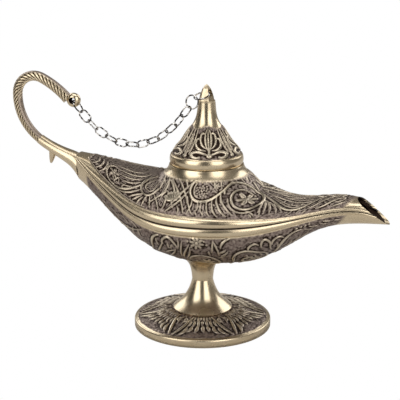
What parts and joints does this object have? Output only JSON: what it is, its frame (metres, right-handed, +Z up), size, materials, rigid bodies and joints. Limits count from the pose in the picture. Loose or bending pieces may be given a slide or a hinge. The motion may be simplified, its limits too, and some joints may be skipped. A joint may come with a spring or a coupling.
{
  "type": "oil lamp",
  "caption": "Long spouted oil lamp on a round pedestal foot, with a twisted curling handle and a lift-off lid tied to the handle's knob by a chain of loose links.",
  "frame": {"origin": "centre of the foot's flat underside", "axes": "+X towards the spout, +Z up through the stem, +Y across the lamp"},
  "size_m": [0.211, 0.076, 0.1384],
  "materials": {
    "antique_brass": "antique finish, polished on the bands and dark in the hollows of the ornament",
    "chain_steel": "bright plated wire",
    "screw_steel": "plain zinc plated"
  },
  "bodies": {
    "lamp": {"foot_disc": "antique_brass", "pedestal_cone": "antique_brass", "foot_washer": "screw_steel", "foot_screw": "screw_steel", "lower_shell": "antique_brass", "upper_shell": "antique_brass", "handle_root": "antique_brass", "handle_bar": "antique_brass", "handle_knob": "antique_brass"},
    "lid": {"lid": "antique_brass", "finial": "antique_brass"},
    "chain_ring_knob_body": {"chain_ring_knob": "chain_steel"},
    "chain_link_01_body": {"chain_link_01": "chain_steel"},
    "chain_link_02_body": {"chain_link_02": "chain_steel"},
    "chain_link_03_body": {"chain_link_03": "chain_steel"},
    "chain_link_04_body": {"chain_link_04": "chain_steel"},
    "chain_link_05_body": {"chain_link_05": "chain_steel"},
    "chain_link_06_body": {"chain_link_06": "chain_steel"},
    "chain_link_07_body": {"chain_link_07": "chain_steel"},
    "chain_link_08_body": {"chain_link_08": "chain_steel"},
    "chain_link_09_body": {"chain_link_09": "chain_steel"},
    "chain_link_10_body": {"chain_link_10": "chain_steel"},
    "chain_link_11_body": {"chain_link_11": "chain_steel"},
    "chain_link_12_body": {"chain_link_12": "chain_steel"},
    "chain_ring_near_finial_body": {"chain_ring_near_finial": "chain_steel"},
    "chain_ring_finial_body": {"chain_ring_finial": "chain_steel"}
  },
  "joints": [
    {"name": "lid_lift", "type": "slide", "parent": "lamp", "child": "lid", "axis": [0, 0, 1], "range_m": [0, 0.016]},
    {"name": "ring_knob_swing", "type": "hinge", "parent": "lamp", "child": "chain_ring_knob_body", "pos_m": [-0.07345, 0, 0.12315], "axis": [0, -1, 0], "range_deg": [0, 9.9]},
    {"name": "link_01_swing", "type": "hinge", "parent": "chain_ring_knob_body", "child": "chain_link_01_body", "pos_m": [-0.06892, -0.00034, 0.11689], "axis": [0, -1, 0], "range_deg": [0, 2.5]},
    {"name": "link_02_swing", "type": "hinge", "parent": "chain_link_01_body", "child": "chain_link_02_body", "pos_m": [-0.06467, -0.00061, 0.11211], "axis": [0, -1, 0], "range_deg": [0, 2.6]},
    {"name": "link_03_swing", "type": "hinge", "parent": "chain_link_02_body", "child": "chain_link_03_body", "pos_m": [-0.0599, -0.00089, 0.10784], "axis": [0, -1, 0], "range_deg": [0, 2.6]},
    {"name": "link_04_swing", "type": "hinge", "parent": "chain_link_03_body", "child": "chain_link_04_body", "pos_m": [-0.05456, -0.00117, 0.1043], "axis": [0, -1, 0], "range_deg": [0, 2]},
    {"name": "link_05_swing", "type": "hinge", "parent": "chain_link_04_body", "child": "chain_link_05_body", "pos_m": [-0.04869, -0.00145, 0.10176], "axis": [0, -1, 0], "range_deg": [0, 0.6]},
    {"name": "link_06_swing", "type": "hinge", "parent": "chain_link_05_body", "child": "chain_link_06_body", "pos_m": [-0.04241, -0.00173, 0.1005], "axis": [0, -1, 0], "range_deg": [-1.5, 0]},
    {"name": "ring_near_finial_swing", "type": "hinge", "parent": "lid", "child": "chain_ring_near_finial_body", "pos_m": [-0.00324, -0.00395, 0.12875], "axis": [0, -1, 0], "range_deg": [0, 3.6]},
    {"name": "link_12_swing", "type": "hinge", "parent": "chain_ring_near_finial_body", "child": "chain_link_12_body", "pos_m": [-0.00657, -0.00367, 0.12328], "axis": [0, -1, 0], "range_deg": [0, 1.1]},
    {"name": "link_11_swing", "type": "hinge", "parent": "chain_link_12_body", "child": "chain_link_11_body", "pos_m": [-0.01027, -0.00339, 0.11806], "axis": [0, -1, 0], "range_deg": [0, 1.4]},
    {"name": "link_10_swing", "type": "hinge", "parent": "chain_link_11_body", "child": "chain_link_10_body", "pos_m": [-0.01441, -0.00311, 0.11318], "axis": [0, -1, 0], "range_deg": [0, 1.9]},
    {"name": "link_09_swing", "type": "hinge", "parent": "chain_link_10_body", "child": "chain_link_09_body", "pos_m": [-0.01906, -0.00283, 0.10877], "axis": [0, -1, 0], "range_deg": [0, 2.4]},
    {"name": "link_08_swing", "type": "hinge", "parent": "chain_link_09_body", "child": "chain_link_08_body", "pos_m": [-0.02426, -0.00255, 0.10504], "axis": [0, -1, 0], "range_deg": [0, 2.9]},
    {"name": "link_07_swing", "type": "hinge", "parent": "chain_link_08_body", "child": "chain_link_07_body", "pos_m": [-0.03001, -0.00228, 0.10225], "axis": [0, -1, 0], "range_deg": [0, 3.2]},
    {"name": "ring_finial_swing", "type": "hinge", "parent": "lid", "child": "chain_ring_finial_body", "pos_m": [0.0022, 0, 0.131], "axis": [0.8572, -0.515, 0], "range_deg": [0, 3.2]}
  ],
  "couplings": [
    {"joint": "ring_knob_swing", "follows": "lid_lift", "rad_per_m": 10.645},
    {"joint": "link_01_swing", "follows": "lid_lift", "rad_per_m": 2.5118},
    {"joint": "link_02_swing", "follows": "lid_lift", "rad_per_m": 2.6717},
    {"joint": "link_03_swing", "follows": "lid_lift", "rad_per_m": 2.7213},
    {"joint": "link_04_swing", "follows": "lid_lift", "rad_per_m": 2.0651},
    {"joint": "link_05_swing", "follows": "lid_lift", "rad_per_m": 0.5181},
    {"joint": "link_06_swing", "follows": "lid_lift", "rad_per_m": -1.4435},
    {"joint": "ring_near_finial_swing", "follows": "lid_lift", "rad_per_m": 3.7203},
    {"joint": "link_12_swing", "follows": "lid_lift", "rad_per_m": 1.0513},
    {"joint": "link_11_swing", "follows": "lid_lift", "rad_per_m": 1.4082},
    {"joint": "link_10_swing", "follows": "lid_lift", "rad_per_m": 1.8818},
    {"joint": "link_09_swing", "follows": "lid_lift", "rad_per_m": 2.4628},
    {"joint": "link_08_swing", "follows": "lid_lift", "rad_per_m": 3.0455},
    {"joint": "link_07_swing", "follows": "lid_lift", "rad_per_m": 3.2822},
    {"joint": "ring_finial_swing", "follows": "lid_lift", "rad_per_m": 3.2725}
  ]
}
